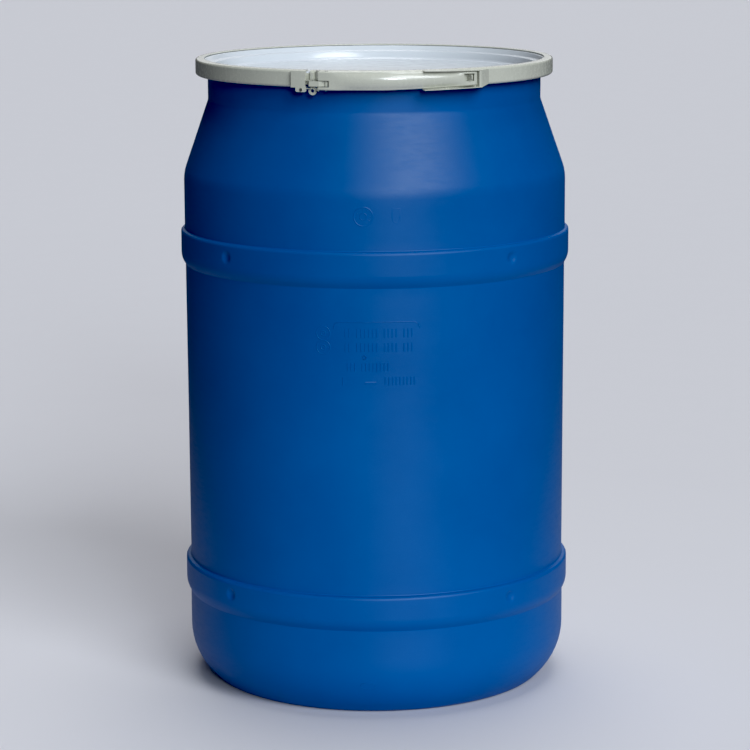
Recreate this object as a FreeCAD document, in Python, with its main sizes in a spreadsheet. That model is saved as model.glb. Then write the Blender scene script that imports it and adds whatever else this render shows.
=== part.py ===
"""Blue plastic open-head drum: blow-moulded shell, recessed lid, steel closing ring and lever latch.

Millimetres. +Z is up, the origin is the centre of the face that the drum stands on, and the latch is at
the front (-Y). An azimuth is an angle in degrees round the drum's axis, from the front towards +X.
"""
import FreeCAD, Part
import math
import os
import re
import Sketcher

Vector = FreeCAD.Vector
UP = Vector(0, 0, 1)
LEVEL = 1e-6

# ---------------------------------------------------------------- driving dimensions
DIMENSIONS = {
    # shell: radii and heights of its outline
    "body_radius": 286.3,
    "waist_radius": 285.2,
    "belt_radius": 286.9,
    "hoop_radius": 292.4,
    "hoop_inside": 287.6,
    "wall": 3.6,
    "lower_hoop_foot": 132.0,
    "lower_hoop_top": 184.5,
    "upper_hoop_foot": 635.0,
    "upper_hoop_top": 688.0,
    "hoop_slope": 10.0,
    "hoop_sweep": 28.0,
    "hoop_fall": 1.5,
    "hoop_edge": 4.5,
    "crease": 1.5,
    "shoulder_height": 771.0,
    "shoulder_round": 60.0,
    "shoulder_inset": 2.0,
    "neck_foot": 880.0,
    "neck_radius": 248.9,
    "neck_wall": 4.2,
    "neck_round": 14.0,
    "bead_radius": 261.0,
    "bead_bottom": 919.7,
    "bead_top": 931.1,
    "bead_round": 2.5,
    "bead_root": 1.0,
    # shell: rounded foot and recessed base
    "foot_chamfer": 36.6,
    "foot_sweep": 96.0,
    "foot_round": 14.0,
    "foot_inner": 232.0,
    "foot_inset": 2.0,
    "foot_edge": 4.0,
    "base_recess": 7.0,
    "base_slope": 12.0,
    "base_bend": 8.0,
    "base_wall": 4.2,
    # dimples round the hoops
    "dimple_ball": 13.0,
    "dimple_depth": 3.0,
    "dimple_azimuth": 42.5,
    # lid and gasket
    "lid_radius": 262.6,
    "lid_top": 939.8,
    "lid_sheet": 2.6,
    "lid_rim_inner": 252.4,
    "lid_skirt": 931.8,
    "lid_rib": 931.6,
    "lid_ledge_height": 932.0,
    "lid_ledge_fall": 1.0,
    "lid_ledge_radius": 247.8,
    "lid_ledge_inner": 242.3,
    "lid_ledge_bend": 1.5,
    "lid_wall_radius": 243.9,
    "lid_wall_foot": 927.1,
    "lid_rim_round": 2.0,
    "lid_edge": 0.8,
    "lid_floor_radius": 240.6,
    "lid_floor": 919.0,
    "lid_step_radius": 205.0,
    "lid_step": 1.6,
    "lid_bend": 3.0,
    "lid_floor_bend": 5.5,
    "gasket_inner": 251.0,
    "gasket_outer": 259.7,
    "gasket_bottom": 931.4,
    "gasket_top": 936.6,
    "gasket_round": 1.2,
    # closing ring
    "ring_radius": 267.0,
    "ring_sheet": 1.6,
    "ring_lip": 254.0,
    "ring_bottom": 917.5,
    "ring_top": 942.0,
    "ring_bend": 4.0,
    "lip_round": 0.5,
    "gap_start": -21.45,
    "gap_end": -19.85,
    # sheet parts on the ring stand on its face
    "weld_face": 267.02,
    "weld_bite": 0.3,
    "plate": 1.3,
    "side_wall": 0.3,
    "seat_gap": 0.02,
    "through": 1.0,
    # tongue inside the ring, behind its gap
    "tongue_start": -23.55,
    "tongue_end": -17.85,
    "tongue_inner": 263.7,
    "tongue_outer": 265.3,
    "tongue_bottom": 921.6,
    "tongue_top": 937.9,
    # anchor bracket on the ring's left end
    "anchor_start": -25.7,
    "anchor_end": -21.05,
    "anchor_face": 272.2,
    "anchor_bottom": 917.6,
    "anchor_top": 941.0,
    "ear_start": -24.2,
    "ear_end": -20.7,
    "ear_bottom": 911.5,
    "ear_round": 2.6,
    "ear_lap": 1.0,
    "rivet_azimuth": -22.35,
    "rivet_height": 914.7,
    "rivet_head": 2.3,
    "rivet_shank": 1.38,
    "rivet_head_height": 0.9,
    "arm_root": 0.7,
    "arm_end": -18.8,
    "arm_inner": 268.5,
    "arm_outer": 272.2,
    "upper_arm": 927.8,
    "lower_arm": 916.2,
    "arm_sheet": 1.0,
    "arm_cheek": 1.0,
    "catch_azimuth": -19.25,
    "catch_distance": 270.2,
    "catch_radius": 1.4,
    # pivot of the lever on the ring's right end
    "pivot_azimuth": -16.95,
    "pivot_distance": 270.8,
    "pivot_rivet": 1.45,
    "pivot_head": 2.5,
    "pivot_head_gap": 0.1,
    "pivot_head_height": 1.2,
    "pivot_web": 4.4,
    "knuckle_radius": 2.8,
    "knuckle_bottom": 929.2,
    "knuckle_top": 939.6,
    "pivot_ear_bottom": 916.3,
    "pivot_ear_top": 917.5,
    "pivot_plate_start": -17.55,
    "pivot_plate_end": -15.75,
    "cheek_start": -19.4,
    "cheek_end": -18.5,
    "running_gap": 0.05,
    # seal eye below the ring
    "eye_azimuth": -18.95,
    "eye_height": 913.2,
    "eye_radius": 6.2,
    "eye_gap": 0.1,
    "eye_hole": 2.4,
    # lever
    "lever_start": -16.7,
    "lever_taper": 4.0,
    "lever_end": 31.95,
    "lever_inner": 268.6,
    "lever_outer": 275.3,
    "lever_sheet": 1.3,
    "lever_bottom": 914.6,
    "lever_top": 941.3,
    "lever_end_bottom": 918.4,
    "lever_end_top": 938.4,
    "lever_bend": 2.4,
    "lever_flat": 0.05,
    "lever_crown": 3.6,
    "crown_start": -13.55,
    "crown_rise": 7.0,
    "crown_fall": 5.0,
    "crown_end": 28.45,
    "lobe_radius": 3.3,
    "slot_end": -13.43,
    "slot_bottom": 919.2,
    "slot_top": 928.4,
    "window_start": 27.65,
    "window_end": 30.95,
    "window_bottom": 924.8,
    "window_top": 935.4,
    # link between the lever and the catch pin
    "link_azimuth": -14.45,
    "link_distance": 270.2,
    "link_pin": 1.3,
    "link_pin_head": 2.2,
    "link_head_height": 0.9,
    "link_eye": 2.5,
    "link_sheet": 1.2,
    "link_bottom": 920.0,
    "link_top": 927.5,
    "link_rise": 4.3,
    "link_reach": 24.73,
    "link_hook": 2.2,
    "link_root": 1.9,
    "link_heel": 3.2,
    "link_knee": 9.6,
    "link_knee_step": 0.6,
    "link_fall": 0.7,
    "link_bend": 2.0,
    "link_edge": 0.3,
    # saddle that the lever's end lies in
    "saddle_start": 14.75,
    "saddle_end": 33.55,
    "saddle_tail": 37.5,
    "saddle_outer": 278.4,
    "saddle_bottom": 913.9,
    "saddle_top": 941.6,
    "saddle_end_bottom": 915.3,
    "saddle_end_top": 940.0,
    "saddle_root": 267.07,
    "saddle_sheet": 1.1,
    "saddle_stop": 32.55,
    "tail_inner": 267.4,
    "tail_edge": 268.4,
    "tail_outer": 277.4,
    "tail_bottom": 918.9,
    "tail_top": 939.6,
    # tab through the lever's window
    "tab_azimuth": 29.55,
    "tab_sheet": 1.8,
    "tab_bottom": 926.2,
    "tab_top": 934.2,
    "tab_outer": 281.2,
    "tab_round": 2.4,
    "tab_hole": 1.6,
    "tab_hole_distance": 278.0,
}

doc = FreeCAD.newDocument("open_head_drum")
sheet = doc.addObject("Spreadsheet::Sheet", "Dimensions")
for row, (alias, number) in enumerate(DIMENSIONS.items(), start=1):
    sheet.set(f"A{row}", alias)
    sheet.set(f"B{row}", str(number))
    sheet.setAlias(f"B{row}", alias)
doc.recompute()

nodes = []


def value(expression):
    """The number that an expression in the sheet's words comes to."""
    return float(sheet.evalExpression(str(expression)))


def linked(expression):
    """The same expression as another object of the document has to write it."""

    def prefix(match):
        word = match.group(0)
        return f"Dimensions.{word}" if word in DIMENSIONS else word

    return re.sub(r"[a-z_]+", prefix, str(expression))


def bind(thing, **expressions):
    for prop, expression in expressions.items():
        thing.setExpression(prop, linked(expression))


def turned(azimuth, distance=0, height=0):
    """A placement whose X points out of the drum and Y along it, at an azimuth, distance and height."""
    angle = math.radians(value(azimuth) - 90)
    reach = value(distance)
    place = Vector(reach * math.cos(angle), reach * math.sin(angle), value(height))
    return FreeCAD.Placement(place, FreeCAD.Rotation(UP, value(azimuth) - 90))


# ---------------------------------------------------------------- sketches with rounded corners
def rounding(before, corner, after, radius):
    """Where a rounding leaves the two sides of a corner, and its centre."""
    back = (before - corner).normalize()
    ahead = (after - corner).normalize()
    half = back.getAngle(ahead) / 2
    away = (back + ahead).normalize()
    reach = radius / math.tan(half)
    return corner + back * reach, corner + ahead * reach, corner + away * (radius / math.sin(half))


def closed_outline(sketch, corners):
    """Draws a closed outline through corners (across, up, radius), each tied to the sheet."""
    points = [Vector(value(x), value(y), 0) for x, y, _ in corners]
    count = len(corners)
    ends = []
    for index, (x, y, radius) in enumerate(corners):
        mark = sketch.addGeometry(Part.Point(points[index]), True)
        for kind, expression in (("DistanceX", x), ("DistanceY", y)):
            size = value(expression)
            rule = sketch.addConstraint(Sketcher.Constraint(kind, -1, 1, mark, 1, size))
            bind(sketch, **{f"Constraints[{rule}]": expression})
        if not radius:
            ends.append((mark, points[index], points[index], None, 0, 0))
            continue
        before, after = points[index - 1], points[(index + 1) % count]
        start, stop, centre = rounding(before, points[index], after, value(radius))
        first = math.atan2(start.y - centre.y, start.x - centre.x)
        last = math.atan2(stop.y - centre.y, stop.x - centre.x)
        anticlockwise = (last - first) % math.tau < math.pi
        low, high = (first, last) if anticlockwise else (last, first)
        circle = Part.Circle(centre, UP, value(radius))
        arc = sketch.addGeometry(Part.ArcOfCircle(circle, low, low + (high - low) % math.tau))
        rule = sketch.addConstraint(Sketcher.Constraint("Radius", arc, value(radius)))
        bind(sketch, **{f"Constraints[{rule}]": radius})
        entry, leave = (1, 2) if anticlockwise else (2, 1)
        ends.append((mark, start, stop, arc, entry, leave))
    for index in range(count):
        mark, _, start, arc, _, leave = ends[index]
        next_mark, stop, _, next_arc, entry, _ = ends[(index + 1) % count]
        line = sketch.addGeometry(Part.LineSegment(start, stop))
        for end, point, curve, side in ((1, mark, arc, leave), (2, next_mark, next_arc, entry)):
            if curve is None:
                sketch.addConstraint(Sketcher.Constraint("Coincident", line, end, point, 1))
            else:
                sketch.addConstraint(Sketcher.Constraint("PointOnObject", point, 1, line))
                sketch.addConstraint(Sketcher.Constraint("Tangent", line, end, curve, side))


def new_body(label, plane, corners):
    body = doc.addObject("PartDesign::Body", label)
    sketch = body.newObject("Sketcher::SketchObject", f"{label}_outline")
    origin = next(item for item in body.Origin.OriginFeatures if item.Role == plane)
    sketch.AttachmentSupport = [(origin, "")]
    sketch.MapMode = "FlatFace"
    closed_outline(sketch, corners)
    return body, sketch


def revolved(label, corners, span=360):
    """A body turned from a half section (radius, height, rounding), whole or over a span of degrees."""
    body, sketch = new_body(label, "XZ_Plane", corners)
    turn = body.newObject("PartDesign::Revolution", f"{label}_turn")
    turn.Profile = sketch
    turn.ReferenceAxis = (sketch, ["V_Axis"])
    turn.Midplane = True
    bind(turn, Angle=span)
    return body


def padded(label, corners, height):
    """A body raised from a plan outline (out, along, rounding)."""
    body, sketch = new_body(label, "XY_Plane", corners)
    pad = body.newObject("PartDesign::Pad", f"{label}_pad")
    pad.Profile = sketch
    bind(pad, Length=height)
    return body


# ---------------------------------------------------------------- primitives round the drum's axis
def cylinder(label, radius, height, placement, angle=360):
    solid = doc.addObject("Part::Cylinder", label)
    bind(solid, Radius=radius, Height=height, Angle=angle)
    solid.Placement = placement
    return solid


def cut(label, base, tool):
    result = doc.addObject("Part::Cut", label)
    result.Base = base
    result.Tool = tool
    return result


def fuse(label, shapes):
    result = doc.addObject("Part::MultiFuse", label)
    result.Shapes = shapes
    return result


def arc_plate(label, inner, outer, low, high, start, end):
    """A plate curved round the drum's axis, between two radii, heights and azimuths."""
    height, span = f"({high}) - ({low})", f"({end}) - ({start})"
    wedge = cylinder(f"{label}_wedge", outer, height, turned(start, 0, low), span)
    core = cylinder(f"{label}_core", inner, f"{height} + 2 * through", turned(0, 0, f"({low}) - through"))
    return cut(label, wedge, core)


def post(label, radius, low, high, azimuth, distance):
    """An upright cylinder."""
    return cylinder(label, radius, f"({high}) - ({low})", turned(azimuth, distance, low))


def stud(label, radius, inner, outer, azimuth, height):
    """A cylinder that points out of the drum."""
    place = turned(azimuth, inner, height)
    place.Rotation = place.Rotation * FreeCAD.Rotation(Vector(0, 1, 0), 90)
    return cylinder(label, radius, f"({outer}) - ({inner})", place)


def block(label, width, inner, outer, low, high, azimuth):
    """A box that points out of the drum, centred on an azimuth."""
    box = doc.addObject("Part::Box", label)
    bind(box, Length=f"({outer}) - ({inner})", Width=width, Height=f"({high}) - ({low})")
    box.Placement = turned(azimuth, inner, low) * FreeCAD.Placement(
        Vector(0, -value(width) / 2, 0), FreeCAD.Rotation()
    )
    return box


def ribbon(label, stations, ruled=False):
    """A plate round the drum's axis that changes on its way: stations (azimuth, inner, outer, low, high)."""
    sections = []
    for azimuth, inner, outer, low, high in stations:
        place = turned(azimuth)
        corners = ((inner, low), (outer, low), (outer, high), (inner, high))
        points = [place.multVec(Vector(value(radius), 0, value(height))) for radius, height in corners]
        sections.append(Part.makePolygon(points + points[:1]))
    plate = doc.addObject("Part::Feature", label)
    plate.Shape = Part.makeLoft(sections, True, ruled)
    return plate


def lies_at(edge, height):
    """Whether an edge's ends are both at a height."""
    return all(abs(vertex.Point.z - height) < LEVEL for vertex in edge.Vertexes)


def rounded_edges(label, base, radius, chosen):
    """Rounds the edges of a shape that a test chooses."""
    doc.recompute()
    size = value(radius)
    numbers = [n for n, edge in enumerate(base.Shape.Edges, start=1) if chosen(edge)]
    result = doc.addObject("Part::Fillet", label)
    result.Base = base
    result.Edges = [(number, size, size) for number in numbers]
    return result


def keep(label, thing, placement=None):
    """Names a finished sub-part, which becomes a node of its own."""
    thing.Label = label
    if placement is not None:
        thing.Placement = placement
    nodes.append(thing)
    return thing


# ---------------------------------------------------------------- shell
def hoop(foot, top, below, above):
    """The corners of one rolling hoop's outside, going up."""
    return [
        (below, foot, "crease"),
        ("hoop_radius", f"{foot} + hoop_slope", "hoop_sweep"),
        ("hoop_radius", f"{top} - hoop_fall", "hoop_edge"),
        (above, top, "crease"),
    ]


def hoop_hollow(foot, top, below, above):
    """The corners of the hollow behind a hoop, going down."""
    return [
        (f"{above} - wall", f"{top} - wall", "crease"),
        ("hoop_inside", f"{top} - 2 * wall", "crease"),
        ("hoop_inside", f"{foot} + hoop_slope + wall", "crease"),
        (f"{below} - wall", f"{foot} + wall", "crease"),
    ]


def drum_body():
    outside = [
        ("0", "base_recess", None),
        ("foot_inner - base_slope", "base_recess", "base_bend"),
        ("foot_inner", "0", "foot_edge"),
        ("body_radius - foot_chamfer", "0", "foot_round"),
        ("body_radius", "foot_chamfer", "foot_sweep"),
        *hoop("lower_hoop_foot", "lower_hoop_top", "body_radius", "waist_radius"),
        *hoop("upper_hoop_foot", "upper_hoop_top", "body_radius", "belt_radius"),
        ("belt_radius", "shoulder_height", "shoulder_round"),
        ("neck_radius", "neck_foot", "neck_round"),
        ("neck_radius", "bead_bottom", "bead_root"),
        ("bead_radius", "bead_bottom", "bead_round"),
        ("bead_radius", "bead_top", "bead_round"),
    ]
    inside = [
        ("neck_radius - neck_wall", "bead_top", "bead_round"),
        ("neck_radius - neck_wall", "neck_foot", "neck_round"),
        ("belt_radius - wall", "shoulder_height - shoulder_inset", "shoulder_round"),
        *hoop_hollow("upper_hoop_foot", "upper_hoop_top", "body_radius", "belt_radius"),
        *hoop_hollow("lower_hoop_foot", "lower_hoop_top", "body_radius", "waist_radius"),
        ("body_radius - wall", "foot_chamfer + foot_inset", "foot_sweep - wall"),
        ("body_radius - foot_chamfer", "base_wall", "base_bend"),
        ("foot_inner", "base_wall", "foot_edge"),
        ("foot_inner - base_slope", "base_recess + base_wall", "base_bend"),
        ("0", "base_recess + base_wall", None),
    ]
    shell = revolved("shell", outside + inside)
    dimples = []
    for name in ("lower_hoop", "upper_hoop"):
        middle = f"({name}_foot + hoop_slope + {name}_top) / 2"
        for quarter in range(4):
            ball = doc.addObject("Part::Sphere", f"{name}_dimple_{quarter + 1}")
            bind(ball, Radius="dimple_ball")
            ball.Placement = turned(
                f"dimple_azimuth + {90 * quarter}", "hoop_radius - dimple_depth + dimple_ball", middle
            )
            dimples.append(ball)
    keep("drum_body", cut("dimpled_shell", shell, fuse("dimples", dimples)))


# ---------------------------------------------------------------- lid
def lid():
    outline = [
        ("0", "lid_floor", None),
        ("lid_step_radius", "lid_floor", "lid_bend"),
        ("lid_step_radius + lid_step", "lid_floor - lid_step", "lid_bend"),
        ("lid_floor_radius", "lid_floor - lid_step", "lid_floor_bend"),
        ("lid_wall_radius", "lid_wall_foot", "lid_rim_round"),
        ("lid_wall_radius", "lid_rib", "lid_edge"),
        ("gasket_inner", "lid_rib", "lid_edge"),
        ("gasket_inner", "gasket_top", None),
        ("gasket_outer", "gasket_top", None),
        ("gasket_outer", "lid_skirt", "lid_edge"),
        ("lid_radius", "lid_skirt", "lid_edge"),
        ("lid_radius", "lid_top", "lid_rim_round"),
        ("lid_rim_inner", "lid_top", "lid_rim_round"),
        ("lid_ledge_radius", "lid_ledge_height + lid_ledge_fall", "lid_ledge_bend"),
        ("lid_ledge_inner", "lid_ledge_height", "lid_ledge_bend"),
        ("lid_floor_radius - lid_sheet", "lid_floor - lid_step + lid_sheet", "lid_floor_bend"),
        ("lid_step_radius + lid_step", "lid_floor - lid_step + lid_sheet", "lid_bend"),
        ("lid_step_radius", "lid_floor + lid_sheet", "lid_bend"),
        ("0", "lid_floor + lid_sheet", None),
    ]
    keep("lid", revolved("lid_shell", outline))


def lid_gasket():
    outline = [
        ("gasket_inner", "gasket_bottom", "gasket_round"),
        ("gasket_outer", "gasket_bottom", "gasket_round"),
        ("gasket_outer", "gasket_top", None),
        ("gasket_inner", "gasket_top", None),
    ]
    keep("lid_gasket", revolved("gasket_ring", outline))


# ---------------------------------------------------------------- closing ring and what is fixed to it
def ring_band():
    """A channel that grips the bead and the lid's rim, split at the front."""
    outline = [
        ("ring_radius", "ring_bottom", "ring_bend"),
        ("ring_radius", "ring_top", "ring_bend"),
        ("ring_lip", "ring_top", "lip_round"),
        ("ring_lip", "ring_top - ring_sheet", "lip_round"),
        ("ring_radius - ring_sheet", "ring_top - ring_sheet", "ring_bend - ring_sheet"),
        ("ring_radius - ring_sheet", "ring_bottom + ring_sheet", "ring_bend - ring_sheet"),
        ("ring_lip", "ring_bottom + ring_sheet", "lip_round"),
        ("ring_lip", "ring_bottom", "lip_round"),
    ]
    band = revolved("channel", outline, "360 - gap_end + gap_start")
    keep("ring_band", band, turned("(gap_start + gap_end) / 2 + 180"))


def ring_tongue():
    """A strip inside the channel that closes the gap between the ring's ends."""
    strip = arc_plate(
        "tongue", "tongue_inner", "tongue_outer", "tongue_bottom", "tongue_top", "tongue_start", "tongue_end"
    )
    keep("ring_tongue", strip)


def anchor_bracket():
    """A box on the ring's end, with an ear below it and two arms that hold the catch pin."""
    start, end, face = "anchor_start", "anchor_end", "anchor_face"
    back = f"{face} - plate"
    low, high = "anchor_bottom", "anchor_top"
    pieces = [
        arc_plate("anchor_front", back, face, low, high, start, end),
        arc_plate("anchor_lid", "weld_face", face, f"{high} - plate", high, start, end),
        arc_plate("anchor_floor", "weld_face", face, low, f"{low} + plate", start, end),
        arc_plate("anchor_left", "weld_face", face, low, high, start, f"{start} + side_wall"),
        arc_plate("anchor_right", "weld_face", face, "upper_arm", high, f"{end} - side_wall", end),
        arc_plate("arm_cheek", back, face, "lower_arm", f"{low} + plate", f"{end} - arm_cheek", end),
    ]
    ear = arc_plate("ear_plate", back, face, "ear_bottom", f"{low} + ear_lap", "ear_start", "ear_end")

    def lower_corner(edge):
        return lies_at(edge, value("ear_bottom")) and edge.Length < 2 * value("plate")

    pieces.append(rounded_edges("ear", ear, "ear_round", lower_corner))
    for name in ("upper_arm", "lower_arm"):
        top = f"{name} + arm_sheet"
        pieces.append(arc_plate(f"{name}_bar", "arm_inner", "arm_outer", name, top, end, "arm_end"))
        pieces.append(
            arc_plate(f"{name}_root", "arm_inner", "arm_outer", name, top, f"{end} - arm_root", end)
        )
    low, high = "lower_arm - through", "upper_arm + arm_sheet + through"
    catch_hole = post("catch_hole", "catch_radius", low, high, "catch_azimuth", "catch_distance")
    rivet_hole = stud(
        "rivet_hole", "rivet_shank", "weld_face", f"{face} + through", "rivet_azimuth", "rivet_height"
    )
    holes = fuse("anchor_holes", [catch_hole, rivet_hole])
    keep("anchor_bracket", cut("anchor", fuse("anchor_body", pieces), holes))


def anchor_rivet():
    azimuth, height = "rivet_azimuth", "rivet_height"
    inner, face = "anchor_face - plate", "anchor_face"
    tip, foot = f"{face} + rivet_head_height", f"{inner} - rivet_head_height"
    shank = stud("rivet_post", "rivet_shank", foot, tip, azimuth, height)
    head = stud("rivet_disc", "rivet_head", f"{face} + seat_gap", tip, azimuth, height)
    tail = stud("rivet_tail", "rivet_head", foot, f"{inner} - seat_gap", azimuth, height)
    keep("anchor_rivet", fuse("rivet", [shank, head, tail]))


def catch_pin():
    low, high = "lower_arm", "upper_arm + arm_sheet"
    pin = post("catch_shank", "catch_radius", low, high, "catch_azimuth", "catch_distance")
    keep("catch_pin", pin)


def pivot_bracket():
    """Back plate on the ring, a knuckle round the upper rivet, an ear round the lower one and a cheek."""
    azimuth, distance, wide = "pivot_azimuth", "pivot_distance", "pivot_web"
    face, back, root = "weld_face", "weld_face + plate", "weld_face + weld_bite"
    start, end = "pivot_plate_start", "pivot_plate_end"
    low, high = "knuckle_bottom", "knuckle_top"
    foot, ledge = "pivot_ear_bottom", "pivot_ear_top"
    pieces = [
        arc_plate("pivot_back", face, back, foot, high, start, end),
        arc_plate("cheek_back", face, back, low, high, "cheek_start", start),
        arc_plate("cheek", face, "arm_outer", low, high, "cheek_start", "cheek_end"),
        post("knuckle", "knuckle_radius", low, high, azimuth, distance),
        post("pivot_ear", "knuckle_radius", foot, ledge, azimuth, distance),
        block("knuckle_web", wide, root, distance, low, high, azimuth),
        block("ear_web", wide, root, distance, foot, ledge, azimuth),
    ]
    hole = post("pivot_hole", "pivot_rivet", f"{foot} - through", f"{high} + through", azimuth, distance)
    keep("pivot_bracket", cut("pivot", fuse("pivot_body", pieces), hole))


def pivot_rivets():
    """Two headed rivets on one axis, with the link's path left free between them."""
    place = ("pivot_azimuth", "pivot_distance")
    near, middle, far = "pivot_head_gap", "pivot_head_height / 2", "pivot_head_height"
    upper = [
        post("upper_shank", "pivot_rivet", "knuckle_bottom", f"lever_top + {middle}", *place),
        post("upper_head", "pivot_head", f"lever_top + {near}", f"lever_top + {far}", *place),
    ]
    lower = [
        post("lower_shank", "pivot_rivet", f"lever_bottom - {middle}", "pivot_ear_top", *place),
        post("lower_head", "pivot_head", f"lever_bottom - {far}", f"lever_bottom - {near}", *place),
    ]
    pair = doc.addObject("Part::Compound", "rivet_pair")
    pair.Links = [fuse("upper_rivet", upper), fuse("lower_rivet", lower)]
    keep("pivot_rivets", pair)


def seal_eye():
    outer = "weld_face + plate"
    place = ("eye_azimuth", "eye_height")
    disc = stud("eye_disc", "eye_radius", "weld_face + eye_gap", outer, *place)
    hole = stud("eye_bore", "eye_hole", "weld_face - through", f"{outer} + through", *place)
    keep("seal_eye", cut("eye", disc, hole))


def saddle_rail(label, near, far):
    """A rail of the saddle, whose lower edge goes from one height to another."""
    start, end, steps = "saddle_start", "saddle_end", 8
    stations = []
    for step in range(steps + 1):
        share = step / steps
        low = f"{near} + {share} * ({far} - ({near}))"
        azimuth = f"{start} + {share} * ({end} - {start})"
        stations.append((azimuth, "saddle_root", "saddle_outer", low, f"{low} + saddle_sheet"))
    return ribbon(label, stations)


def saddle_bracket():
    """Open channel: a back plate, two rails that stand out past the lever, and a sloped tail."""
    start, stop, end = "saddle_start", "saddle_stop", "saddle_end"
    root, outer = "tail_inner", "tail_outer"
    foot, top = "saddle_end_bottom", "saddle_end_top"
    pieces = [
        saddle_rail("bottom_rail", "saddle_bottom", foot),
        saddle_rail("top_rail", "saddle_top - saddle_sheet", f"{top} - saddle_sheet"),
        arc_plate("saddle_back", "weld_face", "weld_face + plate", foot, top, start, end),
        arc_plate("end_wall", "weld_face", outer, foot, top, stop, f"{stop} + side_wall"),
        ribbon(
            "tail",
            [
                (stop, root, outer, foot, top),
                (end, root, outer, foot, top),
                ("saddle_tail", root, "tail_edge", "tail_bottom", "tail_top"),
            ],
            ruled=True,
        ),
    ]
    keep("saddle_bracket", fuse("saddle", pieces))


def lock_tab():
    base = "weld_face + plate + seat_gap"
    tab = block("tab_plate", "tab_sheet", base, "tab_outer", "tab_bottom", "tab_top", "tab_azimuth")
    middle = "(tab_bottom + tab_top) / 2"
    place = turned("tab_azimuth", "tab_hole_distance", middle)
    place.Rotation = place.Rotation * FreeCAD.Rotation(Vector(1, 0, 0), 90)
    place = place * FreeCAD.Placement(Vector(0, 0, -value("tab_sheet")), FreeCAD.Rotation())
    hole = cylinder("tab_bore", "tab_hole", "2 * tab_sheet", place)

    def tip_corner(edge):
        points = [vertex.Point for vertex in edge.Vertexes]
        far = all(math.hypot(point.x, point.y) > value("tab_hole_distance + tab_hole") for point in points)
        return far and lies_at(edge, points[0].z)

    keep("lock_tab", cut("tab", rounded_edges("tab_blank", tab, "tab_round", tip_corner), hole))


# ---------------------------------------------------------------- lever
def crown_at(azimuth):
    """How far the lever's face bulges: nearly flat at the pivot and at the window, full between them."""
    risen = (azimuth - value("crown_start")) / value("crown_rise")
    left = (value("crown_end") - azimuth) / value("crown_fall")
    share = max(0.0, min(1.0, risen, left))
    return value("lever_flat") + share * share * (3 - 2 * share) * value("lever_crown - lever_flat")


def channel_section(azimuth, low, high):
    """The lever's C section, open towards the drum, as a closed wire at one azimuth."""
    inner, outer = value("lever_inner"), value("lever_outer")
    crown = crown_at(azimuth)
    thick, bend = value("lever_sheet"), value("lever_bend")
    inside_bend = bend - thick
    place = FreeCAD.Placement(Vector(), FreeCAD.Rotation(UP, azimuth - 90))
    slant = math.sqrt(0.5)

    def at(radius, height):
        return place.multVec(Vector(radius, 0, height))

    def bent(radius, height, size, side):
        """A quarter bend at an outer corner: side is 1 at the top, -1 at the bottom."""
        start = at(radius - size, height)
        middle = at(radius - size * (1 - slant), height - side * size * (1 - slant))
        stop = at(radius, height - side * size)
        return start, middle, stop

    top_in, top_mid, top_out = bent(outer - crown, high, bend, 1)
    low_in, low_mid, low_out = bent(outer - crown, low, bend, -1)
    up_in, up_mid, up_out = bent(outer - crown - thick, high - thick, inside_bend, 1)
    down_in, down_mid, down_out = bent(outer - crown - thick, low + thick, inside_bend, -1)
    middle = (low + high) / 2
    edges = [
        Part.LineSegment(at(inner, high), top_in),
        Part.Arc(top_in, top_mid, top_out),
        Part.Arc(top_out, at(outer, middle), low_out),
        Part.Arc(low_out, low_mid, low_in),
        Part.LineSegment(low_in, at(inner, low)),
        Part.LineSegment(at(inner, low), at(inner, low + thick)),
        Part.LineSegment(at(inner, low + thick), down_in),
        Part.Arc(down_in, down_mid, down_out),
        Part.Arc(down_out, at(outer - thick, middle), up_out),
        Part.Arc(up_out, up_mid, up_in),
        Part.LineSegment(up_in, at(inner, high - thick)),
        Part.LineSegment(at(inner, high - thick), at(inner, high)),
    ]
    return Part.Wire([edge.toShape() for edge in edges])


def lever_channel():
    """A curved channel that narrows towards its free end."""
    start, taper, end = value("lever_start"), value("lever_taper"), value("lever_end")
    steps = 14
    sections = []
    for step in range(steps + 1):
        azimuth = start + (end - start) * step / steps
        narrowed = max(0.0, (azimuth - taper) / (end - taper))
        low = value("lever_bottom") + narrowed * value("lever_end_bottom - lever_bottom")
        high = value("lever_top") + narrowed * value("lever_end_top - lever_top")
        sections.append(channel_section(azimuth, low, high))
    channel = doc.addObject("Part::Feature", "lever_channel")
    channel.Shape = Part.makeLoft(sections, True, False)
    return channel


def lever_handle():
    """The channel with its flanges' lobes, holes, strap slot and window."""
    pieces = [lever_channel()]
    flanges = (
        ("top", "lever_top - lever_sheet", "lever_top"),
        ("bottom", "lever_bottom", "lever_bottom + lever_sheet"),
    )
    for name, low, high in flanges:
        for joint in ("pivot", "link"):
            place = (f"{joint}_azimuth", f"{joint}_distance")
            pieces.append(post(f"{joint}_{name}_lobe", "lobe_radius", low, high, *place))
        outer = "pivot_distance + lobe_radius"
        pieces.append(block(f"{name}_root", "lobe_radius", "lever_inner", outer, low, high, "lever_start"))
    low, high = "lever_bottom - through", "lever_top + through"
    holes = [
        post("link_bore", "link_pin + running_gap", low, high, "link_azimuth", "link_distance"),
        post("pivot_bore", "pivot_rivet + running_gap", low, high, "pivot_azimuth", "pivot_distance"),
        arc_plate(
            "strap_slot",
            "lever_inner + running_gap",
            "lever_outer + through",
            "slot_bottom",
            "slot_top",
            "lever_start - through",
            "slot_end",
        ),
        block(
            "window",
            "lever_outer * (window_end - window_start) * pi / 180",
            "lever_outer - 3 * lever_sheet",
            "lever_outer + through",
            "window_bottom",
            "window_top",
            "(window_start + window_end) / 2",
        ),
    ]
    lever = fuse("lever_body", pieces)
    for number, hole in enumerate(holes, start=1):
        lever = cut(f"lever_cut_{number}", lever, hole)
    keep("lever_handle", lever)


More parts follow.
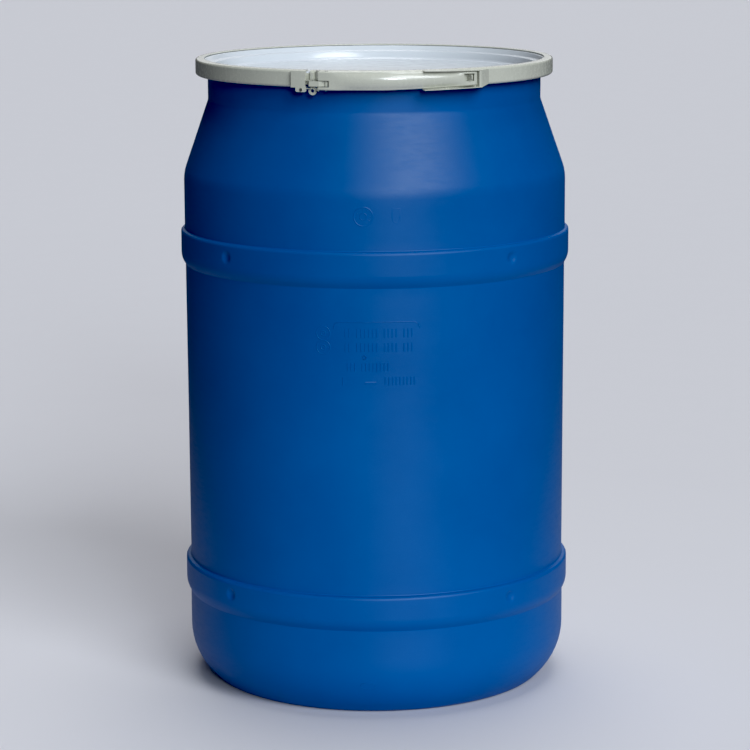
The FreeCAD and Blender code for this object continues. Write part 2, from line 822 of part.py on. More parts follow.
def link_pin():
    place = ("link_azimuth", "link_distance")
    near, middle, far = "seat_gap", "link_head_height / 2", "link_head_height"
    shank = post("link_shank", "link_pin", f"lever_bottom - {middle}", f"lever_top + {middle}", *place)
    top = post("link_top_head", "link_pin_head", f"lever_top + {near}", f"lever_top + {far}", *place)
    foot = post("link_foot_head", "link_pin_head", f"lever_bottom - {far}", f"lever_bottom - {near}", *place)
    keep("link_pin", fuse("link_pin_body", [shank, top, foot]))


# ---------------------------------------------------------------- link
def link_strap():
    """A strap rolled round the link pin, bent outwards over the lever's slot, with a hook at its end."""
    reach, rise, half = "link_reach", "link_rise", "link_sheet / 2"
    near, far = f"-{reach} + {half}", f"-{reach} - {half}"
    outline = [
        (half, "-link_root", None),
        (half, "-link_heel", "link_bend"),
        (f"{rise} + {half}", "-link_knee", "link_bend"),
        (f"{rise} - link_fall + {half}", far, "link_bend - link_edge"),
        ("-link_hook", far, "link_edge"),
        ("-link_hook", near, "link_edge"),
        (f"{rise} - link_fall - {half}", near, "link_edge"),
        (f"{rise} - {half}", "-link_knee - link_knee_step", "link_bend"),
        (f"-{half}", "-link_heel - link_edge", "link_edge"),
        (f"-{half}", "-link_root", None),
    ]
    low, high = "link_bottom", "link_top"
    place = ("link_azimuth", "link_distance")
    strap = padded("strap", outline, f"({high}) - ({low})")
    strap.Placement = turned(*place, low)
    roll = post("strap_roll", "link_eye", low, high, *place)
    bore = post("strap_bore", "link_pin + running_gap", f"{low} - through", f"{high} + through", *place)
    keep("link_strap", cut("link", fuse("link_body", [strap, roll]), bore))


def check(things):
    """Stops the build where an object has failed or a sub-part isn't a sound solid."""
    for thing in doc.Objects:
        if any(word in thing.State for word in ("Invalid", "Error")):
            raise SystemExit(f"{thing.Name} ({thing.Label}) failed: {thing.State}")
    for thing in things:
        shape = thing.Shape
        if shape.isNull() or not shape.isValid() or not shape.Solids:
            raise SystemExit(f"{thing.Label} isn't a sound solid")
        print(f"{thing.Label}: {len(shape.Solids)} solid(s), {shape.Volume / 1000:.2f} cm3")


drum_body()
lid()
lid_gasket()
ring_band()
ring_tongue()
anchor_bracket()
anchor_rivet()
catch_pin()
pivot_bracket()
pivot_rivets()
seal_eye()
saddle_bracket()
lock_tab()
lever_handle()
link_pin()
link_strap()
doc.recompute()
check(nodes)
os.makedirs("parts", exist_ok=True)
for node in nodes:
    node.Shape.exportStep(os.path.join("parts", f"{node.Label}.step"))
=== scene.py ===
"""Looks of the blue open-head drum: moulded shell, pale lid, enamelled closing ring and its lever latch.

Lengths are metres. An azimuth is an angle in degrees round the drum's axis, from the front (-Y) towards +X.
"""
import math

import bmesh
import bpy
from mathutils import Euler, Matrix, Vector, noise


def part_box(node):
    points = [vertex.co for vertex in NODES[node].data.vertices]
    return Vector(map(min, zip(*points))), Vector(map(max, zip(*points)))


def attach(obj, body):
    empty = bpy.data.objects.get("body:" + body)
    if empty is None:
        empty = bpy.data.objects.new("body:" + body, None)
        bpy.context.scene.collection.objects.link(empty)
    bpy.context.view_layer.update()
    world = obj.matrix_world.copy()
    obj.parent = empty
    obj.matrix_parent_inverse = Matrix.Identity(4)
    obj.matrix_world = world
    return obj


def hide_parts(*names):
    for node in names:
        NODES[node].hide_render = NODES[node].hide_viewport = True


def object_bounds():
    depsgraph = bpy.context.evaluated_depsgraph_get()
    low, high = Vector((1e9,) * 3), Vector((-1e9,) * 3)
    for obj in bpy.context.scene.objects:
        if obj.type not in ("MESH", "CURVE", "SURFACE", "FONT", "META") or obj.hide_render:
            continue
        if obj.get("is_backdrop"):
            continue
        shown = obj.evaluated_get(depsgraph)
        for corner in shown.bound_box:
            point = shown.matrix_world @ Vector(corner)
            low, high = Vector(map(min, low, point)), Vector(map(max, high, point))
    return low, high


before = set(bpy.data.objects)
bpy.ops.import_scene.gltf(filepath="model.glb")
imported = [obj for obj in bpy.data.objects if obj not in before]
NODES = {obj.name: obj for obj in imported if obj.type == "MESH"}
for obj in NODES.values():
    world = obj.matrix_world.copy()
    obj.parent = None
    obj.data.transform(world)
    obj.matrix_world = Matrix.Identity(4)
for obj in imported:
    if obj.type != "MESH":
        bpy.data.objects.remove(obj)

CAD_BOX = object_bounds()
MM = 0.001


# ---------------------------------------------------------------- outlines read from the CAD nodes
def outward(azimuth):
    angle = math.radians(azimuth)
    return Vector((math.sin(angle), -math.cos(angle), 0))


def at(azimuth, radius, height):
    place = outward(azimuth) * radius
    place.z = height
    return place


def section(node, azimuth):
    """Where the half plane at an azimuth cuts a CAD node: points (radius, height), going round the solid."""
    out = outward(azimuth)
    side = Vector((-out.y, out.x, 0))
    work = bmesh.new()
    work.from_mesh(NODES[node].data)
    bmesh.ops.remove_doubles(work, verts=work.verts, dist=0.001 * MM)
    for normal, both in ((out, False), (side, True)):
        everything = [*work.verts, *work.edges, *work.faces]
        bmesh.ops.bisect_plane(
            work, geom=everything, dist=0.001 * MM, plane_co=(0, 0, 0), plane_no=normal,
            clear_inner=True, clear_outer=both,
        )
    bmesh.ops.remove_doubles(work, verts=work.verts, dist=0.005 * MM)
    ends = [vert for vert in work.verts if len(vert.link_edges) == 1]
    here = min(ends or work.verts, key=lambda vert: vert.co.z)
    chain, seen = [], set()
    while here is not None:
        chain.append((here.co.dot(out), here.co.z))
        seen.add(here)
        onward = [edge.other_vert(here) for edge in here.link_edges]
        here = next((vert for vert in onward if vert not in seen), None)
    work.free()
    turning = sum(a[0] * b[1] - b[0] * a[1] for a, b in zip(chain, chain[1:] + chain[:1]))
    return chain if turning > 0 else chain[::-1]


def without_flats(points, closed):
    """Drops the points that lie on a straight run."""
    kept = []
    for index, point in enumerate(points):
        if not closed and index in (0, len(points) - 1):
            kept.append(point)
            continue
        before, after = points[index - 1], points[(index + 1) % len(points)]
        a = Vector((point[0] - before[0], point[1] - before[1]))
        b = Vector((after[0] - point[0], after[1] - point[1]))
        if abs(a.angle_signed(b, 0)) > math.radians(0.3):
            kept.append(point)
    return kept


def divided(points, closed, longest):
    """Adds points so that no run is longer than longest(point) allows."""
    result = []
    following = points[1:] + (points[:1] if closed else [])
    for start, stop in zip(points, following):
        middle = ((start[0] + stop[0]) / 2, (start[1] + stop[1]) / 2)
        count = max(1, math.ceil(math.dist(start, stop) / longest(middle)))
        for step in range(count):
            share = step / count
            result.append((start[0] + (stop[0] - start[0]) * share, start[1] + (stop[1] - start[1]) * share))
    if not closed:
        result.append(points[-1])
    return result


# ---------------------------------------------------------------- meshes
def new_object(name, verts, faces, smooth=30):
    mesh = bpy.data.meshes.new(name)
    mesh.from_pydata([tuple(vert) for vert in verts], [], faces)
    work = bmesh.new()
    work.from_mesh(mesh)
    bmesh.ops.recalc_face_normals(work, faces=work.faces)
    work.to_mesh(mesh)
    work.free()
    mesh.update()
    mesh.shade_smooth()
    mesh.set_sharp_from_angle(angle=math.radians(smooth))
    piece = bpy.data.objects.new(name, mesh)
    bpy.context.scene.collection.objects.link(piece)
    return piece


def swept(points, azimuths, whole, shape=None):
    """Sweeps an outline round the axis: all the way, or over a span with its ends closed."""
    verts, rows = [], []
    for index, (radius, height) in enumerate(points):
        if radius < 0.01 * MM:
            rows.append([len(verts)] * len(azimuths))
            verts.append(Vector((0, 0, height)))
            continue
        rows.append(range(len(verts), len(verts) + len(azimuths)))
        for azimuth in azimuths:
            moved = shape(index, azimuth, radius, height) if shape else radius
            verts.append(at(azimuth, moved, height))
    open_outline = points[0][0] < 0.01 * MM
    faces = []
    columns = len(azimuths) if whole else len(azimuths) - 1
    for row in range(len(points) - (1 if open_outline else 0)):
        here, above = rows[row], rows[(row + 1) % len(points)]
        for column in range(columns):
            beside = (column + 1) % len(azimuths)
            corners = [here[column], here[beside], above[beside], above[column]]
            face = [corner for place, corner in enumerate(corners) if corner != corners[place - 1]]
            faces.append(face)
    if not whole:
        faces.append([row[0] for row in rows])
        faces.append([row[-1] for row in rows][::-1])
    return verts, faces


def span(start, stop, step):
    count = max(1, round((stop - start) / step))
    return [start + (stop - start) * index / count for index in range(count + 1)]


def finished(node, bevel, body, smooth=35):
    """A copy of a CAD node with its sheared and pressed edges eased."""
    piece = bpy.data.objects.new(f"{node}_finished", NODES[node].data.copy())
    bpy.context.scene.collection.objects.link(piece)
    work = bmesh.new()
    work.from_mesh(piece.data)
    bmesh.ops.remove_doubles(work, verts=work.verts, dist=0.002 * MM)
    bmesh.ops.dissolve_limit(work, angle_limit=math.radians(0.05), verts=work.verts, edges=work.edges)
    bmesh.ops.recalc_face_normals(work, faces=work.faces)
    work.to_mesh(piece.data)
    work.free()
    piece.data.shade_smooth()
    piece.data.set_sharp_from_angle(angle=math.radians(smooth))
    eased = piece.modifiers.new("eased", "BEVEL")
    eased.width = bevel
    eased.segments = 3
    eased.limit_method = "ANGLE"
    eased.angle_limit = math.radians(smooth)
    eased.use_clamp_overlap = True
    eased.harden_normals = False
    even = piece.modifiers.new("even", "WEIGHTED_NORMAL")
    even.keep_sharp = False
    settle(piece)
    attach(piece, body)
    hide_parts(node)
    return piece


def settle(piece):
    """Applies the modifiers, so that the piece is one plain mesh."""
    bpy.context.view_layer.update()
    graph = bpy.context.evaluated_depsgraph_get()
    mesh = bpy.data.meshes.new_from_object(piece.evaluated_get(graph))
    piece.modifiers.clear()
    piece.data = mesh


# ---------------------------------------------------------------- drum shell
DIMPLE_AZIMUTHS = [42.5, 132.5, 222.5, 312.5]
DIMPLE_BALL = 13 * MM
DIMPLE_DEPTH = 3 * MM
DIMPLE_REACH = 14 * MM
DIMPLE_HALF_HEIGHT = 9.5 * MM
DIMPLE_LIP = 0.8 * MM
# the dimple meets the plain wall where its ball's depth, counted in lips, is this
LIP_CUT = -7
PARTING_AZIMUTHS = [90, 270]
PARTING_RIDGE = 0.3 * MM
PARTING_HALF_WIDTH = 1.2 * MM
# the parting line shows where the shell is wider than this share of its widest
PARTING_SHARE = 0.8
UNEVEN = 0.35 * MM
UNEVEN_SIZE = 170 * MM
# heights between which the wall's waviness fades in and out
CALM_BELOW = (20 * MM, 90 * MM)
CALM_ABOVE = (860 * MM, 900 * MM)
FINE_RUN, WALL_RUN, INSIDE_RUN = 1.3 * MM, 16 * MM, 28 * MM

shell_low, shell_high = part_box("drum_body")
HOOP_RADIUS = shell_high.x
shell = without_flats(section("drum_body", 0), False)
rim_index = max(range(len(shell)), key=lambda index: (shell[index][1], shell[index][0]))
hoop_points = [point[1] for point in shell[:rim_index] if point[0] > HOOP_RADIUS - 0.05 * MM]
split_height = sum(hoop_points) / len(hoop_points)
lower_hoop = [height for height in hoop_points if height < split_height]
upper_hoop = [height for height in hoop_points if height > split_height]
HOOP_HEIGHTS = [(min(group) + max(group)) / 2 for group in (lower_hoop, upper_hoop)]


def near_dimple(height):
    return any(abs(height - middle) < DIMPLE_HALF_HEIGHT for middle in HOOP_HEIGHTS)


def shell_step(point):
    """How long a run of the shell's outline may be at a point."""
    on_hoop = point[0] > HOOP_RADIUS - 2 * MM
    return FINE_RUN if on_hoop and near_dimple(point[1]) else WALL_RUN


outside = divided(shell[: rim_index + 1], False, shell_step)
inside = divided(shell[rim_index:], False, lambda point: INSIDE_RUN)
shell_outline = outside + inside[1:]


def smoothstep(low, high, number):
    share = min(1.0, max(0.0, (number - low) / (high - low)))
    return share * share * (3 - 2 * share)


def moulded(index, azimuth, radius, height):
    """The shell's radius with its dimples, its parting line and the slight waviness of a blown wall."""
    place = at(azimuth, radius, height) / UNEVEN_SIZE
    calm = smoothstep(*CALM_BELOW, height) * (1 - smoothstep(*CALM_ABOVE, height))
    wave = noise.noise(place) * 0.5 + 0.5
    result = radius - UNEVEN * wave * calm
    if index < len(outside):
        for line in PARTING_AZIMUTHS:
            across = abs(azimuth - line) * math.pi / 180 * radius
            if across < PARTING_HALF_WIDTH and radius > shell_high.x * PARTING_SHARE:
                result += PARTING_RIDGE * (1 - across / PARTING_HALF_WIDTH) * calm
        for middle in HOOP_HEIGHTS:
            for dimple in DIMPLE_AZIMUTHS:
                away = math.hypot((azimuth - dimple) * math.pi / 180 * radius, height - middle)
                if away < DIMPLE_REACH and radius > HOOP_RADIUS - 1.5 * MM:
                    ball = math.sqrt(max(0.0, DIMPLE_BALL**2 - away**2))
                    pit = (DIMPLE_DEPTH - DIMPLE_BALL + ball) / DIMPLE_LIP
                    sunk = math.log1p(math.exp(pit)) - math.log1p(math.exp(LIP_CUT))
                    result -= DIMPLE_LIP * sunk
    return min(result, HOOP_RADIUS)


columns = set(span(0, 359, 1))
for dimple in DIMPLE_AZIMUTHS:
    columns |= set(span(dimple - 2.5, dimple + 2.5, 0.25))
for line in PARTING_AZIMUTHS:
    columns |= {line - 0.25, line - 0.1, line + 0.1, line + 0.25}
columns = sorted(columns)
shell_verts, shell_faces = swept(shell_outline, columns, True, moulded)


# ---------------------------------------------------------------- raised marks on the shell
def wall_radius(height):
    """The shell's outer radius at a height."""
    for start, stop in zip(shell[:rim_index], shell[1 : rim_index + 1]):
        if start[1] <= height <= stop[1] and stop[1] > start[1]:
            share = (height - start[1]) / (stop[1] - start[1])
            return start[0] + (stop[0] - start[0]) * share
    return HOOP_RADIUS


def mark(azimuth, height, path, closed, width, relief):
    """A low moulded ridge along a path of (across, up) points, laid round the shell."""
    sunk = 0.9 * MM
    foot, crest = width / 2, width / 4
    profile = [(-foot, -sunk), (-foot, 0), (-crest, relief), (crest, relief), (foot, 0), (foot, -sunk)]
    path = [Vector(point) for point in path]
    verts, faces, rings = [], [], []
    for index, point in enumerate(path):
        before = path[index - 1] if closed or index else point
        after = path[(index + 1) % len(path)] if closed or index < len(path) - 1 else point
        along = (after - before).normalized()
        across = Vector((along.y, -along.x))
        ring = []
        for offset, rise in profile:
            spot = point + across * offset
            up = height + spot.y
            radius = wall_radius(height + point.y)
            turn = azimuth + math.degrees(spot.x / radius)
            ring.append(len(verts))
            verts.append(at(turn, radius - UNEVEN / 2 + rise, up))
        rings.append(ring)
    for index in range(len(rings) if closed else len(rings) - 1):
        here, onward = rings[index], rings[(index + 1) % len(rings)]
        for side in range(len(profile)):
            beside = (side + 1) % len(profile)
            faces.append([here[side], here[beside], onward[beside], onward[side]])
    if not closed:
        faces += [rings[0], rings[-1][::-1]]
    return verts, faces


def circle(radius, steps=40):
    turns = [math.tau * step / steps for step in range(steps)]
    return [(radius * math.cos(turn), radius * math.sin(turn)) for turn in turns]


LINE = 1.6 * MM
ROW_SPACING = 20.5 * MM


def bars(start, stop, height, tall, pitch, gaps=()):
    """A plain row of upright bars between two azimuths."""
    count = round((stop - start) / pitch)
    for index in range(count + 1):
        if index in gaps:
            continue
        yield start + pitch * index, height, [(0, -tall / 2), (0, tall / 2)], False, 1.7 * MM, 0.45 * MM


def dials(azimuth, height):
    """Two plain dials, one over the other: a ring, a hub and a pointer."""
    relief = 0.28 * MM
    for middle in (height, height - ROW_SPACING):
        yield azimuth, middle, circle(10 * MM), True, LINE, relief
        yield azimuth, middle, circle(3.5 * MM, 20), True, LINE, relief
        yield azimuth, middle, [(-1.2 * MM, 0), (7.5 * MM, 0)], False, LINE, relief


def frame_line():
    """A line over the rows that turns down at its ends."""
    end = [(-62 * MM, -9 * MM), (-60 * MM, -3 * MM), (-54 * MM, 0)]
    middle = [(across * MM, 0) for across in range(-50, 51, 10)]
    return end + middle + [(-across, up) for across, up in reversed(end)]


def badge(azimuth, height):
    """A ringed badge on the belt: a rim, a hub and short spokes between them."""
    yield azimuth, height, circle(13.5 * MM, 56), True, 2.2 * MM, 0.4 * MM
    yield azimuth, height, circle(5 * MM, 28), True, LINE, 0.35 * MM
    spokes = 12
    for index in range(spokes):
        turn = math.tau * index / spokes
        spoke = [(size * MM * math.sin(turn), size * MM * math.cos(turn)) for size in (9.0, 11.2)]
        yield azimuth, height, spoke, False, 1.2 * MM, 0.3 * MM


def shield(azimuth, height):
    """A plain shield outline beside the badge."""
    outline = [(-5.5, 10), (5.5, 10), (5.5, -3), (3.6, -8), (0, -11), (-3.6, -8), (-5.5, -3)]
    yield azimuth, height, [(across * MM, up * MM) for across, up in outline], True, LINE, 0.22 * MM


def oval(azimuth, height, across, up):
    outline = [(across * math.cos(turn), up * math.sin(turn)) for turn in span(0, 6, 0.3)]
    yield azimuth, height, outline, True, LINE, 0.5 * MM


def marks():
    """Every mark, as mark() takes it: azimuth, height, path, closed, width and relief."""
    low_relief = 0.4 * MM
    yield from dials(-15.1, 570 * MM)
    for height in (571 * MM, 550.5 * MM):
        yield from bars(-8.6, 10.9, height, 12 * MM, 1.12, gaps=(2, 9, 14))
    yield -3.1, 536 * MM, circle(2.4 * MM, 16), True, 1.4 * MM, 1.0 * MM
    yield from bars(-8.0, 3.6, 522 * MM, 11 * MM, 1.05, gaps=(3,))
    yield from bars(2.8, 11.7, 501.5 * MM, 11 * MM, 1.05)
    yield -9.4, 501.5 * MM, [(0, -5.5 * MM), (0, 5.5 * MM)], False, LINE, low_relief
    yield -1.4, 499 * MM, [(-8 * MM, 0), (8 * MM, 0)], False, 4 * MM, low_relief
    yield 0.4, 587 * MM, frame_line(), False, 2 * MM, 0.5 * MM
    yield from badge(-3.3, 738 * MM)
    yield from shield(6.0, 739 * MM)
    yield from oval(-2.6, 49 * MM, 11 * MM, 4.5 * MM)


for placing in marks():
    more_verts, more_faces = mark(*placing)
    shell_faces += [[corner + len(shell_verts) for corner in face] for face in more_faces]
    shell_verts += more_verts

# the pinched seam across the recessed base
recess = shell[0][1]
seam_half, seam_deep, seam_root = 130 * MM, 2.6 * MM, 0.8 * MM
seam_foot, seam_crest = 2.6 * MM, 1.1 * MM
seam = [(-seam_foot, seam_root), (-seam_crest, -seam_deep), (seam_crest, -seam_deep), (seam_foot, seam_root)]
ends = []
for side in (-1, 1):
    ends.append(range(len(shell_verts), len(shell_verts) + len(seam)))
    for across, rise in seam:
        shell_verts.append(Vector((side * seam_half, across, recess + rise)))
for index in range(len(seam)):
    beside = (index + 1) % len(seam)
    shell_faces.append([ends[0][index], ends[0][beside], ends[1][beside], ends[1][index]])
shell_faces += [list(ends[0]), list(ends[1])[::-1]]

drum = new_object("drum_shell", shell_verts, shell_faces, smooth=50)
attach(drum, "drum")
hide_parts("drum_body")

# ---------------------------------------------------------------- lid and closing ring
ROUND = [index * 1.0 for index in range(360)]
lid_outline = divided(without_flats(section("lid", 0), False), False, lambda point: 20 * MM)
lid = new_object("lid_panel", *swept(lid_outline, ROUND, True))
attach(lid, "lid")
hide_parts("lid")

gasket_outline = without_flats(section("lid_gasket", 0), True)
gasket = new_object("gasket_ring", *swept(gasket_outline, ROUND, True))
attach(gasket, "lid")
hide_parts("lid_gasket")

# the gap between the ring's ends
GAP_START, GAP_END = -21.45, -19.85
THIN_EDGE, THICK_EDGE = 0.3 * MM, 0.35 * MM
band_outline = without_flats(section("ring_band", 90), True)
band = new_object("closing_ring", *swept(band_outline, span(GAP_END, 360 + GAP_START, 1), False))
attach(band, "ring")
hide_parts("ring_band")

RING_PARTS = ["ring_tongue", "anchor_bracket", "pivot_bracket", "seal_eye", "saddle_bracket", "lock_tab"]
PINS = {"anchor_rivet": "ring", "catch_pin": "ring", "pivot_rivets": "ring", "link_pin": "lever"}
ring_pieces = [band] + [finished(node, THIN_EDGE, "ring") for node in RING_PARTS]
pin_pieces = [finished(node, THICK_EDGE, body) for node, body in PINS.items()]
lever = finished("lever_handle", THICK_EDGE, "lever")
link = finished("link_strap", THIN_EDGE, "link")


# ---------------------------------------------------------------- materials
class Paint:
    """A material's node tree, with short names for what every material uses."""

    def __init__(self, name, **sockets):
        self.material = bpy.data.materials.new(name)
        self.material.use_nodes = True
        self.tree = self.material.node_tree
        self.shader = self.tree.nodes["Principled BSDF"]
        self.place = self.tree.nodes.new("ShaderNodeTexCoord").outputs["Object"]
        for socket, number in sockets.items():
            self.shader.inputs[socket.replace("_", " ")].default_value = number

    def link(self, source, target):
        self.tree.links.new(source, target)

    def noise(self, scale, detail=2, roughness=0.5, stretch=(1, 1, 1)):
        node = self.tree.nodes.new("ShaderNodeTexNoise")
        node.inputs["Scale"].default_value = scale
        node.inputs["Detail"].default_value = detail
        node.inputs["Roughness"].default_value = roughness
        mapping = self.tree.nodes.new("ShaderNodeMapping")
        mapping.inputs["Scale"].default_value = stretch
        self.link(self.place, mapping.inputs["Vector"])
        self.link(mapping.outputs["Vector"], node.inputs["Vector"])
        return node.outputs["Fac"]

    def ramp(self, source, *stops):
        node = self.tree.nodes.new("ShaderNodeValToRGB")
        elements = node.color_ramp.elements
        while len(elements) < len(stops):
            elements.new(0.5)
        for element, (position, colour) in zip(elements, stops):
            element.position = position
            element.color = (*colour, 1) if len(colour) == 3 else colour
        self.link(source, node.inputs["Fac"])
        return node.outputs["Color"]

    def range(self, source, low, high, start=0.3, stop=0.7):
        node = self.tree.nodes.new("ShaderNodeMapRange")
        for socket, number in zip(("From Min", "From Max", "To Min", "To Max"), (start, stop, low, high)):
            node.inputs[socket].default_value = number
        self.link(source, node.inputs["Value"])
        return node.outputs["Result"]

    def mix(self, factor, first, second):
        node = self.tree.nodes.new("ShaderNodeMix")
        node.data_type = "RGBA"
        self.link(factor, node.inputs["Factor"])
        for socket, value in (("A", first), ("B", second)):
            target = next(s for s in node.inputs if s.name == socket and s.type == "RGBA")
            if isinstance(value, tuple):
                target.default_value = (*value, 1)
            else:
                self.link(value, target)
        return next(s for s in node.outputs if s.type == "RGBA")

    def math(self, operation, first, second):
        node = self.tree.nodes.new("ShaderNodeMath")
        node.operation = operation
        for target, value in zip(node.inputs, (first, second)):
            if isinstance(value, (int, float)):
                target.default_value = value
            else:
                self.link(value, target)
        return node.outputs["Value"]

    def bump(self, height, distance, strength=1.0, onto=None):
        node = self.tree.nodes.new("ShaderNodeBump")
        node.inputs["Strength"].default_value = strength
        node.inputs["Distance"].default_value = distance
        self.link(height, node.inputs["Height"])
        if onto is not None:
            self.link(onto, node.inputs["Normal"])
        return node.outputs["Normal"]

    def set(self, **sources):
        for socket, source in sources.items():
            self.link(source, self.shader.inputs[socket.replace("_", " ")])
        return self.material


def drum_blue():
    paint = Paint("blue_polyethylene", IOR=1.5, Specular_IOR_Level=0.40)
    cloudy = paint.noise(5, detail=4, roughness=0.6)
    base = paint.ramp(cloudy, (0.3, (0.0015, 0.097, 0.350)), (0.7, (0.0025, 0.113, 0.392)))
    speck = paint.noise(650, detail=1)
    colour = paint.mix(paint.range(speck, 0, 0.16, 0.55, 0.8), base, (0.02, 0.17, 0.5))
    rub = paint.noise(34, detail=6, roughness=0.75, stretch=(1, 1, 5))
    rough = paint.math("ADD", paint.range(cloudy, 0.44, 0.51), paint.range(rub, -0.02, 0.06, 0.45, 0.75))
    grain = paint.bump(paint.noise(900, detail=3, roughness=0.6), 0.08 * MM, 0.55)
    dents = paint.bump(paint.noise(70, detail=3), 0.25 * MM, 0.35, grain)
    return paint.set(Base_Color=colour, Roughness=rough, Normal=dents)


def lid_pale():
    paint = Paint("pale_lid_plastic", IOR=1.5, Coat_Weight=0.3, Coat_Roughness=0.12)
    cloudy = paint.noise(7, detail=4, roughness=0.6)
    colour = paint.ramp(cloudy, (0.3, (0.66, 0.705, 0.75)), (0.7, (0.715, 0.755, 0.8)))
    rough = paint.range(paint.noise(60, detail=4), 0.16, 0.27)
    soft = paint.bump(paint.noise(40, detail=2), 0.3 * MM, 0.25)
    return paint.set(Base_Color=colour, Roughness=rough, Normal=soft)


def gasket_rubber():
    paint = Paint("black_rubber")
    cloudy = paint.noise(120, detail=3)
    colour = paint.ramp(cloudy, (0.3, (0.022, 0.022, 0.024)), (0.7, (0.036, 0.036, 0.038)))
    rough = paint.range(cloudy, 0.6, 0.78)
    grain = paint.bump(paint.noise(1400, detail=2), 0.05 * MM, 0.5)
    return paint.set(Base_Color=colour, Roughness=rough, Normal=grain)


def ring_paint():
    paint = Paint("beige_grey_enamel", IOR=1.5, Coat_Weight=0.6, Coat_Roughness=0.1)
    cloudy = paint.noise(18, detail=4, roughness=0.6)
    colour = paint.ramp(cloudy, (0.3, (0.61, 0.615, 0.53)), (0.7, (0.66, 0.665, 0.575)))
    rough = paint.range(paint.noise(140, detail=4), 0.2, 0.32)
    peel = paint.bump(paint.noise(420, detail=2), 0.06 * MM, 0.3)
    return paint.set(Base_Color=colour, Roughness=rough, Normal=peel)


def zinc():
    paint = Paint("zinc_plated_steel", Metallic=1.0)
    cloudy = paint.noise(500, detail=5, roughness=0.65)
    colour = paint.ramp(cloudy, (0.3, (0.52, 0.52, 0.49)), (0.7, (0.66, 0.66, 0.63)))
    rough = paint.range(cloudy, 0.26, 0.42)
    scratch = paint.bump(paint.noise(1600, detail=3, stretch=(1, 1, 0.15)), 0.03 * MM, 0.4)
    return paint.set(Base_Color=colour, Roughness=rough, Normal=scratch)


def paint_all(material, pieces):
    for piece in pieces:
        piece.data.materials.clear()
        piece.data.materials.append(material)


paint_all(drum_blue(), [drum])
paint_all(lid_pale(), [lid])
paint_all(gasket_rubber(), [gasket])
paint_all(ring_paint(), [*ring_pieces, lever, link])
paint_all(zinc(), pin_pieces)


# ---------------------------------------------------------------- floor, light and camera
# the floor's colours for bounced light and for the camera: near, far, where near ends, where far begins
# painted shade: the colour that bounced light sees fades to near black away from the drum, so the floor
# throws less light and reflection onto it
FLOOR_BOUNCE_PAINTED_SHADE = ((0.56, 0.55, 0.64), (0.04, 0.045, 0.05), 0.4, 2.4)
# painted light: the colour that the camera sees is slightly lighter near the drum, lifting the lamps'
# shadows round its foot
FLOOR_SEEN_PAINTED_LIGHT = ((0.75, 0.74, 0.775), (0.725, 0.715, 0.75), 0.5, 1.4)


def floor():
    size = 60.0
    work = bmesh.new()
    bmesh.ops.create_grid(work, x_segments=2, y_segments=2, size=size / 2)
    mesh = bpy.data.meshes.new("floor")
    work.to_mesh(mesh)
    work.free()
    piece = bpy.data.objects.new("floor", mesh)
    bpy.context.scene.collection.objects.link(piece)
    paint = Paint("pale_floor")
    reach = paint.tree.nodes.new("ShaderNodeVectorMath")
    reach.operation = "LENGTH"
    paint.link(paint.place, reach.inputs[0])
    distance = paint.math("ADD", reach.outputs["Value"], paint.range(paint.noise(1.5, detail=3), -0.1, 0.1))
    # each tone changes with distance from the drum: painted shade for bounced light, painted light for the
    # camera
    painted_floor_light_and_shade = []
    for near, far, start, stop in (FLOOR_BOUNCE_PAINTED_SHADE, FLOOR_SEEN_PAINTED_LIGHT):
        painted_floor_light_and_shade.append(paint.mix(paint.range(distance, 0, 1, start, stop), near, far))
    ray = paint.tree.nodes.new("ShaderNodeLightPath").outputs["Is Camera Ray"]
    colour = paint.mix(ray, *painted_floor_light_and_shade)
    rough = paint.range(paint.noise(8), 0.75, 0.85)
    piece.data.materials.append(paint.set(Base_Color=colour, Roughness=rough))
    piece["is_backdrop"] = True


# how far off the suns stand, and the height on the axis that they look at
SUN_REACH, SUN_AIM = 5, 0.5


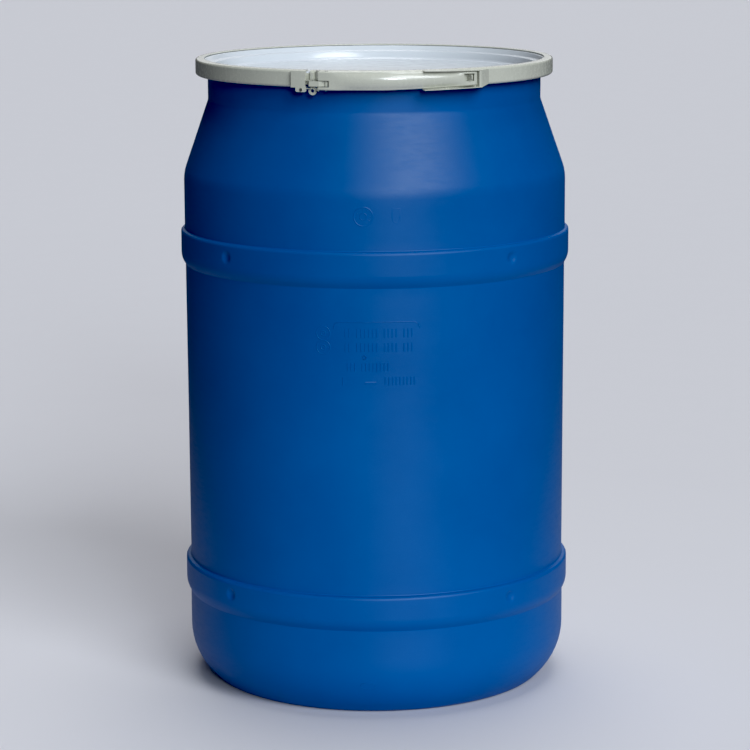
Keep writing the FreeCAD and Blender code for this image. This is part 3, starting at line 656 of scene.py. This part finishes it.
def sun(name, azimuth, elevation, energy, softness, colour):
    """A sun at an azimuth and elevation, looking at the axis. Softness is the sun's own angle across."""
    light = bpy.data.lights.new(name, "SUN")
    light.energy = energy
    light.color = colour
    light.angle = math.radians(softness)
    lamp = bpy.data.objects.new(name, light)
    bpy.context.scene.collection.objects.link(lamp)
    rise = math.radians(elevation)
    offset = at(azimuth, SUN_REACH * math.cos(rise), SUN_REACH * math.sin(rise))
    lamp.location = offset + Vector((0, 0, SUN_AIM))
    lamp.rotation_euler = (-offset).to_track_quat("-Z", "Y").to_euler()


floor()
sun("key", 31, 34, 1.65, 30, (0.90, 0.95, 1.0))
sun("low", 12, 17, 1.05, 15, (0.86, 0.94, 1.0))
sun("top", 165, 80, 1.2, 34, (0.95, 0.97, 1.0))
sun("back", 178, 28, 0.4, 50, (0.95, 0.97, 1.0))

world = bpy.data.worlds.new("studio")
bpy.context.scene.world = world
world.use_nodes = True
nodes, links = world.node_tree.nodes, world.node_tree.links
dim = nodes["Background"]
dim.inputs["Color"].default_value = (0.80, 0.84, 0.92, 1)
dim.inputs["Strength"].default_value = 0.05
shown = nodes.new("ShaderNodeBackground")
shown.inputs["Color"].default_value = (0.55, 0.57, 0.63, 1)
ray = nodes.new("ShaderNodeLightPath")
choose = nodes.new("ShaderNodeMixShader")
links.new(ray.outputs["Is Camera Ray"], choose.inputs["Fac"])
links.new(dim.outputs["Background"], choose.inputs[1])
links.new(shown.outputs["Background"], choose.inputs[2])
links.new(choose.outputs["Shader"], nodes["World Output"].inputs["Surface"])

CAMERA_PLACE = (-0.0008, -4.3217, 1.2737)
CAMERA_TILT, CAMERA_ROLL = 79.296, -0.27
camera = bpy.data.cameras.new("camera")
camera.lens = 138.24
camera.sensor_width = 36
camera_object = bpy.data.objects.new("camera", camera)
bpy.context.scene.collection.objects.link(camera_object)
camera_object.location = CAMERA_PLACE
tilted = Euler((math.radians(CAMERA_TILT), 0, 0)).to_matrix()
rolled = Matrix.Rotation(math.radians(CAMERA_ROLL), 3, "Z")
camera_object.rotation_euler = (tilted @ rolled).to_euler()
bpy.context.scene.camera = camera_object
BLACK_LEVEL = 0.018
look = bpy.context.scene.view_settings
look.view_transform = "Standard"
look.use_curve_mapping = True
look.curve_mapping.black_level = (BLACK_LEVEL,) * 3
look.curve_mapping.update()

boxes = {"cad": CAD_BOX, "visual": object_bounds()}
{name: [list(corner) for corner in box] for name, box in boxes.items()}
